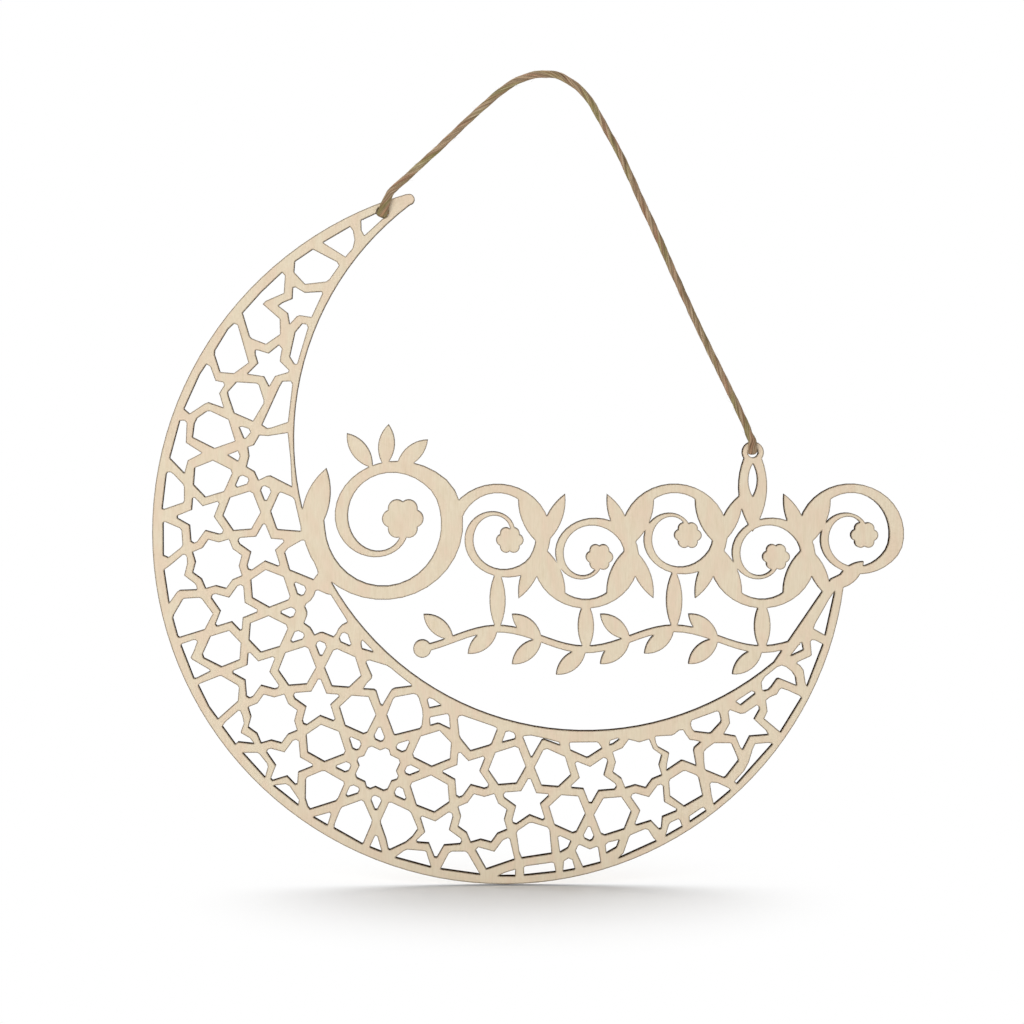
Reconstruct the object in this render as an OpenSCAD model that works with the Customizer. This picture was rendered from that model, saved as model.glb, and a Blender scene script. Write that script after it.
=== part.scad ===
// Laser-cut plywood crescent with eight-fold fretwork and a vine-scroll band, hung on a twine loop.
// Frame: X to the right, Z up, front towards -Y. The origin is the top of the loop, where it hangs.
// Flat outlines are drawn with their own x and y standing for the frame's X and Z.

/* [Sheet] */
// Thickness of each face veneer
veneer_t = 0.8; // [0.5:0.1:1]
// Thickness of the core ply between them
core_t = 1.4; // [1:0.1:2]
// Gap between the twine's middle line and the sheet's front face
face_gap = 1.3; // [1.3:0.1:1.6]

/* [Crescent] */
// Radius of the outer edge, left of its middle
outer_r = 117.2; // [116:0.1:118]
// Radius of the outer edge, right of its middle
right_r = 113.6; // [113:0.1:115]
// Middle of the outer edge, to the right
outer_x = -13.3; // [-14:0.1:-13]
// Height of the crescent's lowest point
bottom_z = -269.1; // [-270:0.1:-268]
// Radius of the inner edge
inner_r = 97.2; // [97:0.1:98]
// Middle of the inner edge, to the right
inner_x = 13.7; // [13.2:0.1:14.2]
// Middle of the inner edge, upwards
inner_z = -120.5; // [-121:0.1:-120]
// Width of the plain rim along the outer edge
outer_rim = 3.1; // [2.5:0.1:3.5]
// Width of the plain rim along the inner edge
inner_rim = 3.4; // [2.5:0.1:3.8]

/* [Fretwork] */
// Side of one square repeat of the pattern
repeat_l = 54.8; // [54:0.1:56]
// Turn of the pattern
repeat_turn = 19.4; // [18:0.1:21]
// Middle of the first rosette, to the right
rosette_x = -55.9; // [-57:0.1:-55]
// Middle of the first rosette, upwards
rosette_z = -230.2; // [-231:0.1:-229]
// Width of the straps between the openings
strap_w = 2.7; // [2.4:0.1:2.9]

/* [Vine scroll] */
// Radius of the large volute at the left
large_r = 23; // [22:0.5:24]
// Middle of the large volute, to the right
large_x = -54; // [-54.5:0.5:-53.5]
// Middle of the large volute, upwards
large_z = -148.5; // [-149:0.5:-148]
// Radius of each volute in the row beside it
upper_r = 15.25; // [14.5:0.05:15.5]
// Height of the row's middle line
upper_z = -156; // [-157:0.5:-155]
// How far the row's volutes lie above and below that line in turn
upper_sway = 4; // [3:0.5:5]
// Height of the lower stem's middle line
stem_z = -187; // [-188:0.5:-186]
// How far the lower stem waves above and below that line
stem_sway = 3.5; // [3:0.5:4]
// Width of the lower stem
stem_w = 2.4; // [2:0.1:2.6]
// Length of the leaves on the lower stem
stem_leaf_l = 13; // [11:0.5:14]

/* [Twine] */
// Diameter of the twine
twine_d = 2.4; // [2.2:0.1:2.4]
// Radius of the round end of the left eye
left_eye_r = 2; // [1.8:0.1:2.2]
// Radius of the right eye
right_eye_r = 1.7; // [1.6:0.1:1.8]
// Radius of each stopper knot
knot_r = 3.4; // [3.2:0.1:3.6]
// Depth of each stopper knot behind the sheet
knot_h = 4.8; // [4:0.1:5.5]

/* [Hidden] */
$fn = 96;

front_y = face_gap;
core_y = front_y + veneer_t;
back_ply_y = core_y + core_t;
back_y = back_ply_y + veneer_t;

outer_z = bottom_z + outer_r;
right_z = bottom_z + right_r;
half_plane = 300;

// Where the twine bends over the sheet's top edge, and the two eyes below, as x and z.
left_bend = [-51, -38.6];
right_bend = [67.5, -118.7];
left_eye = [-53.9, -45.4];
right_eye = [69, -124.8];

// The upper horn's rounded end, and the straighter inner edge of the right horn.
horn_end = [-45.1, -41.1];
horn_end_r = 1.8;
horn_turn = 26;
right_horn = [[75.5, -196], [86, -188], [97.5, -174], [99.4, -165], [95.2, -167]];

// Openings of their own shape: all those in the upper horn, above horn_z, and those along the rims below.
horn_z = -130;
horn_openings = [
    [[-61, -48], [-60.9, -51.2], [-59.9, -53], [-53.7, -47.3], [-53.9, -43.5], [-55.8, -45.6]],
    [[-73.6, -55.3], [-66.2, -60], [-63.8, -57.2], [-63.2, -54.5], [-63.7, -51.5], [-64.7, -50.1]],
    [
        [-77, -57.6], [-82.9, -61.6], [-83.2, -65.1], [-79.6, -69], [-72.6, -68.2], [-71.5, -67.4],
        [-68.4, -63], [-69, -61.8]
    ],
    [
        [-87.2, -65.2], [-94, -71.6], [-100.3, -78.6], [-98, -86.3], [-97.3, -87], [-92.6, -88.8],
        [-87.9, -85.6], [-88, -80.6], [-93.6, -75.7], [-92.6, -74.6], [-86.6, -72], [-86.2, -66.3]
    ],
    [
        [-83.6, -70.2], [-83.8, -73.9], [-87, -75.2], [-88.4, -76.2], [-85.3, -78.6], [-84.7, -82.2],
        [-82.4, -79.7], [-81.4, -79.3], [-77.5, -79.9], [-73.9, -72.2], [-74.1, -71.6], [-79.8, -71.9],
        [-82.8, -70.1]
    ],
    [
        [-80.6, -82.2], [-82.9, -85], [-84.7, -93], [-83.2, -95.4], [-82.3, -95.4], [-78.7, -83.4],
        [-79.1, -82.4]
    ],
    [
        [-103.2, -82.1], [-105.2, -84], [-109.5, -91], [-109.6, -92.4], [-107.8, -98.1], [-103.2, -98.5],
        [-98.4, -95], [-101.9, -82.6]
    ],
    [
        [-96.1, -90.9], [-96.1, -92.2], [-95.2, -95.2], [-98.7, -98.7], [-93.3, -99.5], [-91.6, -102.8],
        [-89.6, -99.4], [-85.2, -98.1], [-85.1, -97.5], [-88, -94.6], [-87.8, -92.9], [-87.3, -90.4],
        [-88.3, -89.2], [-91.8, -92], [-95, -91]
    ],
    [
        [-112.3, -95.5], [-114.6, -98.9], [-117.2, -104.6], [-119.8, -110.3], [-118, -111.9], [-113, -108.6],
        [-111.8, -108.1], [-106.7, -109.9], [-108.1, -105.1], [-106.4, -102.4], [-106.7, -101.6],
        [-109.3, -101], [-111, -96.3]
    ],
    [
        [-102.4, -101.5], [-105.3, -104.7], [-105.1, -106], [-103.2, -111.6], [-97, -114.3], [-93.5, -108.5],
        [-93.4, -107.5], [-95, -102.4], [-95.8, -101.9]
    ],
    [
        [-87.2, -101.3], [-88.2, -103], [-94, -115.6], [-92.4, -116.7], [-91, -116.5], [-85.4, -114.6],
        [-83.9, -102.2], [-84.4, -101.2]
    ],
    [
        [-112.2, -111.1], [-115.5, -113.4], [-116.4, -115.2], [-117, -119.7], [-109.9, -123.3],
        [-103, -120.9], [-105.1, -113.9], [-111, -111.1]
    ],
    [
        [-121.2, -114.2], [-122.6, -119.3], [-124.6, -126.6], [-119.8, -131.6], [-118.6, -127.3],
        [-114, -124.9], [-119.2, -121.5], [-118.9, -115], [-119.5, -114.2]
    ],
    [[-101.5, -116.4], [-100, -120], [-99.4, -119.9], [-97.8, -118], [-98.4, -116.9], [-100.5, -116.2]],
    [[-105.3, -125.6], [-102, -127.6], [-101.4, -125.9], [-102, -124.3]],
    [
        [-94.9, -119.1], [-96.8, -122.4], [-98.7, -123], [-98.3, -126], [-99.2, -129.5], [-96.6, -131],
        [-95.3, -133.9], [-92.6, -132.6], [-91.4, -132.4], [-84.2, -136.1], [-84.6, -127], [-85.5, -118.3],
        [-92, -119.3]
    ]
];
outer_openings = [
    [
        [-127.2, -143.4], [-126.6, -143.5], [-120.2, -141.3], [-119.9, -140.6], [-119.9, -136],
        [-120.3, -135.2], [-123.3, -132], [-124.3, -131.3], [-125.4, -131.3], [-125.8, -132]
    ],
    [
        [-126.9, -158.9], [-125.3, -159.6], [-121, -156.2], [-120.5, -155.4], [-120.8, -150.6],
        [-121.3, -149.9], [-126.2, -147.8], [-126.9, -148]
    ],
    [
        [-126.7, -163.8], [-125.1, -174.8], [-122.4, -171], [-121.6, -170.5], [-115.8, -170.3], [-116, -169],
        [-116.6, -168.2], [-120, -165.6], [-119, -161.5], [-119.1, -159.4], [-119.7, -158.7],
        [-120.4, -158.7], [-124.8, -162.4]
    ],
    [
        [-123.9, -179.8], [-122.3, -185.8], [-121.8, -186.2], [-113.4, -183.6], [-110.6, -178.3],
        [-114.2, -173.4], [-115, -173], [-120, -173.3], [-120.6, -173.7], [-123.6, -178.8]
    ],
    [
        [-121.2, -188.9], [-117, -199.9], [-116.3, -199.9], [-111.5, -197.5], [-111.9, -196.9],
        [-117.5, -193.6], [-118, -192.9], [-116.9, -190.6], [-115.8, -187.6], [-116.3, -187.1],
        [-117.1, -187.1], [-120.8, -188.4]
    ],
    [
        [-115.5, -202.3], [-112, -209.5], [-109.1, -213.5], [-102.4, -207.5], [-102, -203], [-102.5, -202.2],
        [-107.8, -199.1], [-108.4, -199.1], [-115, -201.7]
    ],
    [
        [-107.6, -216], [-103.3, -222], [-102.4, -221.2], [-97, -221.8], [-98.4, -219.9], [-101.4, -218.2],
        [-101.4, -217.5], [-100.4, -214.9], [-100.9, -212.5], [-101.6, -210.9], [-102.2, -210.7],
        [-106.5, -214.5]
    ],
    [[-100.9, -224.8], [-93.5, -233.1], [-92.5, -229.5], [-92.8, -228.4], [-95.3, -225.2], [-96, -224.8]],
    [[-90.7, -235.8], [-82.5, -242.4], [-82.2, -240.6], [-85.3, -236], [-86.6, -235.3]],
    [
        [-78.5, -243.8], [-70, -241.1], [-69.3, -240.3], [-67.2, -235.5], [-67.3, -234.6], [-73.5, -231],
        [-74.5, -231], [-79.3, -233], [-79.9, -233.8], [-80, -240.4], [-79.2, -243]
    ],
    [[-77.5, -246.4], [-72.8, -249.2], [-71.6, -245.4], [-72, -244.9]],
    [
        [-70.5, -250.2], [-61.2, -255.5], [-60.9, -255.3], [-58.3, -249.2], [-57.9, -247.5], [-60.6, -241.3],
        [-61.4, -240.8], [-67.7, -243.1], [-68.3, -243.8], [-70.3, -248.8]
    ],
    [
        [-51.9, -257.5], [-46.6, -255], [-44.4, -253.1], [-42.7, -250.7], [-42.8, -250], [-44.8, -245.2],
        [-45.5, -244.4], [-51.4, -241.6], [-52.2, -241.7], [-54.9, -247.7], [-54.9, -248.8], [-53.1, -254],
        [-52.4, -257.2]
    ],
    [[-58.6, -256.6], [-54.6, -258.2], [-56.1, -252.9], [-56.8, -252.7]],
    [[-50.2, -260.1], [-38.2, -263.4], [-39.8, -258.2], [-40.4, -257.9], [-46, -257.4], [-47.3, -257.9]],
    [[-35, -264], [-21.8, -265.9], [-26, -258.6], [-26.8, -258.1], [-31.2, -258.1], [-32.2, -258.7]],
    [
        [-19.7, -264.1], [-10.3, -260.9], [-11.9, -254], [-12.5, -253.6], [-14.2, -254.4], [-17, -258.2],
        [-22.3, -256.7], [-23.3, -257.6]
    ],
    [[-16, -266.4], [-10.1, -266.4], [-10, -264.2], [-13.3, -265.2]],
    [[-7, -266.2], [3.5, -265.1], [2.9, -262.2], [2.3, -261.9], [-6.5, -263.1], [-7.1, -263.5]],
    [
        [-7.8, -260.4], [2.1, -258.9], [1.4, -251], [0.6, -250], [-4.4, -248.5], [-5.4, -248.6],
        [-9.2, -251.2], [-9.5, -252], [-8.6, -258.5]
    ],
    [[5, -258.5], [7.5, -257.1], [8.6, -254.7], [5, -253], [4.3, -253.3]],
    [[6, -264.9], [9.9, -264.2], [9, -261], [7.8, -260.5], [6.3, -261.4]],
    [
        [12.7, -263.5], [18.5, -262], [17.7, -257], [17.2, -256.6], [14.9, -257.5], [11.6, -256],
        [11, -256.2], [10.2, -258]
    ],
    [[20.5, -258.8], [23.8, -256.9], [24.8, -254.3], [21, -255.2], [20.2, -256]],
    [
        [24.2, -260.7], [37.2, -254.8], [36.1, -253.7], [34.4, -251], [33.4, -250.7], [28.6, -252.7],
        [28, -253.5], [26.2, -258.8]
    ],
    [[40.2, -253.2], [45.8, -250], [45, -247.8], [44.4, -247.4], [42, -248.5], [41.4, -249.2]],
    [[48.3, -248.4], [53.8, -244.7], [52.9, -243.5], [52.2, -243.7], [48.3, -246.4]],
    [
        [46.5, -243.1], [52.6, -239.6], [51.2, -233.5], [50.3, -232.6], [46.9, -231.2], [46, -231.3],
        [41.8, -234], [41.4, -234.9], [41.8, -239.7]
    ],
    [
        [56.4, -242.5], [62, -237.8], [61.2, -237], [57.6, -235.3], [55.6, -235.1], [55.1, -235.6],
        [55.6, -239.2]
    ],
    [
        [64.1, -235.6], [76, -222.2], [74.6, -221.8], [70.1, -222.2], [69.3, -224], [68, -228.4],
        [66.5, -231.2], [63.3, -234.8]
    ],
    [
        [73.1, -213.7], [78.6, -218.3], [85.6, -206.8], [84.7, -206], [81, -204.3], [78.9, -203.6],
        [78.3, -203.9], [77.3, -205.6], [75, -206.5], [73.7, -207.6], [74.2, -211.3]
    ],
    [
        [85.2, -196], [86.2, -197.4], [86.9, -201.8], [87.4, -202.9], [92.7, -188.9], [90, -187.5],
        [89, -187.4], [88.5, -187.9], [88.9, -192.4], [88.4, -192.9], [84.5, -194.6], [83.9, -195.1]
    ],
    [[89.5, -183.6], [93.4, -185.8], [96.6, -170.9], [94.6, -173.8], [90, -182]]
];
inner_openings = [
    [
        [-91.2, -144.4], [-89.3, -149.9], [-88.9, -150.3], [-81.3, -150.9], [-81.3, -149.5], [-83.3, -140.6],
        [-83.8, -139.8], [-84.8, -139.2], [-87.8, -138], [-88.5, -138.4]
    ],
    [
        [-86.6, -158], [-85, -163.8], [-77.2, -167], [-76.5, -166], [-75.7, -165], [-75.8, -164],
        [-79.4, -155.2], [-80.2, -154], [-81, -154], [-85.5, -156.6]
    ],
    [
        [-80, -176.1], [-79.3, -177.8], [-79.3, -179], [-80.3, -181.6], [-78.3, -183], [-77.5, -184.3],
        [-76.9, -185.5], [-75.2, -184.7], [-74.2, -184.6], [-70.6, -186.1], [-69.8, -185.2], [-69, -183.5],
        [-67.8, -182.2], [-65.9, -181.2], [-66.3, -180.2], [-71.4, -172.1], [-72.6, -171.9], [-75.6, -170.6],
        [-76.4, -170.8], [-77.1, -172.7], [-78, -174], [-79.6, -175.2]
    ],
    [[-61.3, -188.4], [-61, -190.1], [-57.3, -191.2], [-58, -190.2], [-60.4, -187.7], [-61, -187.3]],
    [
        [-60.6, -203.5], [-57, -203.7], [-56.3, -204.3], [-55, -208.5], [-54.4, -209.1], [-52, -205],
        [-51.2, -203.8], [-50.2, -203.3], [-44.6, -202.6], [-44.7, -202.1], [-49.6, -198.2], [-51.3, -196.7],
        [-52.9, -195.7], [-58.4, -194], [-59.3, -194.1], [-59.7, -194.7], [-57.7, -199.3], [-57.8, -200],
        [-59.4, -201.6]
    ],
    [
        [-52.8, -212.3], [-50.4, -218.8], [-49.9, -218.9], [-41.9, -216.9], [-41.3, -216], [-40.9, -212.5],
        [-41.1, -210.3], [-42.2, -206.6], [-42.9, -205.5], [-44, -205.2], [-50, -206.3], [-50.7, -207]
    ],
    [[-39.3, -207.2], [-38.6, -209.9], [-34.8, -209.1], [-35, -208.8], [-37.4, -207], [-38.6, -206.6]],
    [
        [-38.5, -213.4], [-38.3, -215.8], [-36, -215.1], [-35.3, -215.2], [-31.8, -216.9], [-32.1, -213],
        [-32.4, -212.1], [-33, -212], [-38.1, -213]
    ],
    [
        [-29.2, -213.6], [-28.6, -219.4], [-28.1, -220.4], [-25, -224.3], [-24.4, -224.2], [-18.7, -222.5],
        [-18, -222], [-16.1, -217.2], [-16.4, -216.6], [-17.3, -216.1], [-27.7, -212.5], [-28.7, -212.7]
    ],
    [[-14.4, -221.5], [-10.2, -220.4], [-10, -219.4], [-10.6, -218.3], [-12, -217.8], [-13.2, -218]],
    [
        [-7.4, -219.8], [-4.7, -226.5], [-4.3, -226.2], [-1.2, -220.8], [-0.5, -220.5], [4.9, -222.5],
        [4.5, -221.5], [-1.5, -219.9], [-4.8, -219.2], [-7.1, -219.4]
    ],
    [
        [8.1, -222], [8.5, -224.2], [13.8, -226.6], [14.4, -226.5], [18.9, -223.6], [17.8, -221.9],
        [17.2, -221.5], [8.4, -221.6]
    ],
    [[21.4, -222.5], [22.6, -222.1], [24.7, -220.6], [24.2, -220.2], [21.7, -221]],
    [
        [36.7, -220], [37, -221.7], [37.8, -223.2], [41.4, -225.2], [40.7, -228.7], [40.5, -231.1],
        [45.5, -227.7], [46.3, -227.8], [50.4, -229.4], [49.5, -224.6], [49.7, -223.5], [51.9, -221.5],
        [50, -221], [48.2, -220.8], [47, -219.2], [46, -217.5], [44.7, -217.6], [43.1, -218.9],
        [42.2, -219.3], [37, -219.6]
    ],
    [
        [48.7, -216], [49.3, -217.4], [49.9, -218], [54.7, -218.6], [55.4, -218.4], [58.6, -214.9],
        [58.7, -214.2], [58.2, -211.9], [57.6, -211.3], [57, -211.3], [49.1, -214.2], [48.7, -214.8]
    ],
    [
        [53, -224.8], [53.1, -228], [53.4, -230.5], [53.9, -231.1], [59.7, -233.5], [60.3, -233.3],
        [64.5, -227.9], [64.4, -227.2], [62.3, -222.3], [61.7, -221.9], [56.4, -221.9], [53.8, -223.8]
    ],
    [
        [59.6, -218.9], [63.7, -219.6], [65.3, -223.5], [66, -224.1], [68.3, -219.6], [74.5, -219.1],
        [73.8, -217.8], [69.7, -214], [71.5, -210.8], [71.4, -209.8], [70.6, -209.2], [66.6, -211.9],
        [65.2, -212.1], [61.6, -210.8], [61.2, -211.5], [61.7, -215.2]
    ],
    [[63.7, -208], [65.3, -209.1], [70, -205.4], [69.8, -204.8], [68.8, -204.5], [64.4, -207.4]],
    [
        [72.4, -203.8], [72.9, -204.4], [74.4, -204.1], [75.4, -203.1], [77.3, -200.4], [78, -200.2],
        [83.9, -202.6], [83.5, -199.8], [82.3, -198], [80.3, -196.4], [78.8, -195.9], [77.4, -196.4],
        [73.3, -199.7], [72.2, -201.5]
    ],
    [[81.7, -192.8], [86.1, -190.7], [85.6, -188.2], [85.1, -188.4], [83.2, -190.9]]
];
own_openings = concat(horn_openings, outer_openings, inner_openings);
// How near its middle an opening of its own shape stands in for one of the pattern.
own_reach = 5;

// Corners of the pattern's strap lines in an eighth of one repeat, as shares of its side.
ring_axis = [0.185, 0];
ring_diagonal = [0.128, 0.128];
ring_dent = [0.125, 0.061];
crossing = [0.303, 0.123];
hexagon_side = [0.448, 0.117];
hexagon_end = [0.5, 0];
elbow = [0.395, 0.229];
flower_corner = [0.36, 0.36];
flower_dent = [0.438, 0.356];
flower_point = [0.5, 0.313];
cells = [-3:4];
// The pattern's sharp tips are cut back along both their sides.
sharp_angle = 95;
tip_cut = 0.9;

// The vine's line: its thick and thin widths as shares of a volute's radius, and how its volutes close.
thick_share = 0.32;
thin_share = 0.2;
root_share = 0.8;
root_turn = 10;
volute_hold = 215;
volute_close = 0.53;
volute_turn = 560;
volute_step = 10;
petals = 6;
petal_share = 0.13;
flower_share = 0.17;

// The row of volutes: their number, and their spacing, which lets each one touch the next.
upper_n = 5;
upper_step = 2 * sqrt(pow(upper_r, 2) - pow(upper_sway, 2));
upper_x = large_x + sqrt(pow(large_r + upper_r, 2) - pow(large_z - upper_z - upper_sway, 2));

// The lower stem: its left end and steps, the bud on its free end, its leaves, and its ties to the row.
stem_left = -41;
stem_step = 3;
stem_steps = 42;
bud_r = 3;
stem_leaf_w = 0.42 * stem_leaf_l;
stem_lean = 50;
stem_ties = 4;
tie_w = 5.4;

// The row's leaf pairs, the large volute's crown and root leaves, and the leaf on the right horn.
leaf_splay = 24;
row_leaf_l = 1.25 * upper_r;
row_leaf_w = 0.34 * upper_r;
crown_turns = [-34, -4, 26];
crown_spread = 0.4;
crown_r = large_r * volute_share(270);
crown_leaf_l = 0.62 * large_r;
crown_leaf_w = 0.24 * large_r;
root_leaf_l = 26;
root_leaf_w = 8.4;
horn_leaf_at = [96.9, -170.3];
horn_leaf_turn = -45;
horn_leaf_l = 13;

// The leaf with the right eye: a ring round the eye, and a slot below it.
eye_ring_r = 3.6;
eye_leaf_l = 30;
eye_leaf_w = 9.5;
eye_slot_gap = 2;
eye_slot_l = 11;
eye_slot_w = 3;

// The loop's middle line, as x and z.
loop_route = [
    [-49.8, -37.5], [-47.5, -35.4], [-45, -33.2], [-42.5, -30.9], [-40, -28.6], [-35, -24.1],
    [-30, -19.3], [-25, -14.6], [-20, -10.1], [-15, -5.9], [-12.5, -4], [-10, -2.5], [-7.5, -1.4],
    [-5, -0.6], [-2.5, -0.1], [0, 0], [2.7, -0.2], [5, -0.9], [7.5, -2.2], [10, -3.9], [12.5, -6.2],
    [15.2, -9.7], [18.1, -14.8], [21, -20], [23.8, -25], [26.3, -30], [28.6, -35], [30.8, -40],
    [33.1, -45], [35.5, -50], [37.8, -55], [40, -60], [42.2, -65], [44.5, -70], [46.8, -75],
    [49.1, -80], [51.5, -85], [53.9, -90], [56.4, -95], [58.9, -100], [61.4, -105], [63.8, -110],
    [66.1, -115], [67, -117.1]
];
twine_r = twine_d / 2;
twine_sides = 8;
eye_play = 0.1;
knot_edge = 1.3;

function unit(v) = v / norm(v);
function turned(p, a) = [p.x * cos(a) - p.y * sin(a), p.x * sin(a) + p.y * cos(a)];
function turned_all(points, a) = [for (p = points) turned(p, a)];
function below_axis(p) = [p.x, -p.y];
function over_diagonal(p) = [p.y, p.x];
function over_border(p) = [1 - p.x, p.y];
function middle(points) = [for (i = [0:1]) [for (p = points) p[i]] * [for (p = points) 1] / len(points)];

// A polygon's corners moved inwards by d, each along the mitre of its two sides.
function mitred(a, b, c, d) =
    let (
        e = unit(b - a),
        f = unit(c - b),
        n = [-e.y, e.x],
        m = [-f.y, f.x]
    )
    b + d * (n + m) / (1 + n * m);
function inset(points, d) =
    let (n = len(points))
    [for (i = [0:n - 1]) mitred(points[(i + n - 1) % n], points[i], points[(i + 1) % n], d)];

function blunt(a, b, c) =
    let (
        e = unit(a - b),
        f = unit(c - b)
    )
    e * f > cos(sharp_angle) ? [b + tip_cut * e, b + tip_cut * f] : [b];
function blunted(points) =
    let (n = len(points))
    [for (i = [0:n - 1]) each blunt(points[(i + n - 1) % n], points[i], points[(i + 1) % n])];

// The openings of one repeat, in shares of its side, counter-clockwise.
axis_hexagon = [
    ring_axis, below_axis(crossing), below_axis(hexagon_side), hexagon_end, hexagon_side, crossing
];
diagonal_hexagon = [
    ring_diagonal, crossing, elbow, flower_corner, over_diagonal(elbow), over_diagonal(crossing)
];
star_half = [flower_dent, flower_corner, elbow, crossing, hexagon_side];
star = concat(
    [hexagon_end],
    [for (i = [len(star_half) - 1:-1:0]) over_border(star_half[i])],
    [flower_point],
    star_half
);
kite = [ring_axis, crossing, ring_diagonal, ring_dent];
mirror_kite = [for (i = [3:-1:0]) over_diagonal(kite[i])];
rosette_part = [ring_axis, ring_dent, ring_diagonal, over_diagonal(ring_dent)];
flower_part = [flower_corner, flower_dent, flower_point, over_border(flower_dent)];
quarters = [0, 90, 180, 270];
rosette = [for (a = quarters) each turned_all(rosette_part, a)];
flower = [for (a = quarters) for (p = flower_part) turned(p - [0.5, 0.5], a) + [0.5, 0.5]];
pattern = concat(
    [rosette, flower],
    [for (a = quarters) for (s = [axis_hexagon, diagonal_hexagon, star, kite, mirror_kite]) turned_all(s, a)]
);

function on_sheet(p, cell) = [rosette_x, rosette_z] + turned((p + cell) * repeat_l, repeat_turn);
function edge_r(p) = p.x < outer_x ? outer_r : right_r;
function outer_depth(p) = edge_r(p) - norm(p - [outer_x, bottom_z + edge_r(p)]);
function inner_depth(p) = norm(p - [inner_x, inner_z]) - inner_r;
function rim_depth(p) = min(outer_depth(p) - outer_rim, inner_depth(p) - inner_rim);
// An opening of the pattern is cut where the rims leave it whole and none of its own shape takes its place.
own_middles = [for (s = own_openings) middle(s)];
function is_cut(points) =
    let (m = middle(points))
    m.y < horn_z
    && min([for (p = points) rim_depth(p)]) > 0
    && min([for (p = own_middles) norm(p - m)]) > own_reach;

// A volute's line: it keeps its radius until it has passed the next one, then closes evenly by share.
function volute_share(a) = a < volute_hold ? 1 : pow(volute_close, (a - volute_hold) / 180);
function root_width(a) =
    a < root_turn ? root_share + (1 - root_share) * (a + root_turn) / (2 * root_turn) : 1;
function volute_point(start, hand, r, a, side) =
    let (
        b = start + hand * a,
        s = volute_share(a),
        w = r * s * root_width(a) * (thin_share + (thick_share - thin_share) * pow(cos(b), 2))
    )
    (r * s + side * w / 2) * [cos(b), sin(b)];
function row_middle(i) = [upper_x + upper_step * i, upper_z + (i % 2 == 0 ? upper_sway : -upper_sway)];
function stem_point(x, side) =
    [x, stem_z + stem_sway * cos(180 * (x - upper_x) / upper_step) + side * stem_w / 2];
function bearing(from, to) = atan2(to.y - from.y, to.x - from.x);

// Everything inside the crescent's outer edge: two arcs that meet at the bottom.
module outer_disc() {
    intersection() {
        translate([outer_x, outer_z]) circle(outer_r);
        translate([outer_x - half_plane, outer_z - half_plane]) square([half_plane, 2 * half_plane]);
    }
    intersection() {
        translate([outer_x, right_z]) circle(right_r);
        translate([outer_x, right_z - half_plane]) square([half_plane, 2 * half_plane]);
    }
}

// The crescent's outline, with the upper horn cut short and rounded and the right horn filled out.
module crescent_outline() {
    difference() {
        outer_disc();
        translate([inner_x, inner_z]) circle(inner_r);
        translate(horn_end) rotate(horn_turn) translate([0, -half_plane / 4]) square(half_plane / 2);
    }
    translate(horn_end) circle(horn_end_r);
    polygon(right_horn);
}

module fretwork_openings() {
    for (i = cells, j = cells, s = pattern) {
        corners = inset([for (p = s) on_sheet(p, [i, j])], strap_w / 2);
        if (is_cut(corners)) {
            polygon(blunted(corners));
        }
    }
    for (s = own_openings) {
        polygon(s);
    }
}

// One volute that starts at the given angle and turns by hand, ending in a small round-petalled flower.
module volute(r, start, hand) {
    steps = [-root_turn:volute_step:volute_turn];
    back = [volute_turn:-volute_step:-root_turn];
    polygon(concat(
        [for (a = steps) volute_point(start, hand, r, a, hand)],
        [for (a = back) volute_point(start, hand, r, a, -hand)]
    ));
    translate(volute_point(start, hand, r, volute_turn, 0)) {
        circle(r * flower_share);
        for (k = [0:petals - 1]) {
            rotate(360 * k / petals) translate([r * flower_share, 0]) circle(r * petal_share);
        }
    }
}

// A pointed leaf from the origin along +y, bounded by two equal arcs.
module leaf(l, w) {
    r = (l * l + w * w) / (4 * w);
    intersection() {
        translate([r - w / 2, l / 2]) circle(r);
        translate([w / 2 - r, l / 2]) circle(r);
    }
}

// A row of volutes that turn against each other in one unbroken line, with leaves where two of them meet.
module vine_row() {
    for (i = [0:upper_n - 1]) {
        here = row_middle(i);
        before = i == 0 ? [large_x, large_z] : row_middle(i - 1);
        translate(here) volute(upper_r, bearing(here, before), i % 2 == 0 ? -1 : 1);
    }
    for (i = [0:upper_n - 2], turn = [leaf_splay, -leaf_splay, 180 - leaf_splay, 180 + leaf_splay]) {
        translate([upper_x + upper_step * (i + 0.5), upper_z]) rotate(turn) leaf(row_leaf_l, row_leaf_w);
    }
    translate(horn_leaf_at) rotate(horn_leaf_turn) leaf(horn_leaf_l, row_leaf_w);
}

// The large volute out of the crescent's inner edge, with its crown of leaves.
module large_volute() {
    start = bearing(row_middle(0), [large_x, large_z]);
    root = start - root_turn;
    translate([large_x, large_z]) {
        volute(large_r, start, 1);
        translate(large_r * [cos(root), sin(root)]) rotate(root) translate([0, -root_leaf_l / 2])
            leaf(root_leaf_l, root_leaf_w);
        for (turn = crown_turns) {
            rotate(turn * crown_spread) translate([0, crown_r]) rotate(turn) leaf(crown_leaf_l, crown_leaf_w);
        }
    }
}

// The waving stem below the row, from its bud to the crescent's edge, with leaves and ties to the row.
module lower_stem() {
    polygon(concat(
        [for (k = [0:stem_steps]) stem_point(stem_left + stem_step * k, -1)],
        [for (k = [stem_steps:-1:0]) stem_point(stem_left + stem_step * k, 1)]
    ));
    translate(stem_point(stem_left, 0)) circle(bud_r);
    for (k = [0:2 * stem_ties - 2]) {
        stem_leaf(k / 2, 180 - stem_lean);
    }
    for (i = [0:stem_ties - 1]) {
        stem_leaf(i - 0.5, stem_lean);
        stem_tie(i);
    }
}

// A leaf on the lower stem, placed by the row's spacing.
module stem_leaf(i, turn) {
    translate(stem_point(upper_x + upper_step * i, 0)) rotate(turn) leaf(stem_leaf_l, stem_leaf_w);
}

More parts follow.
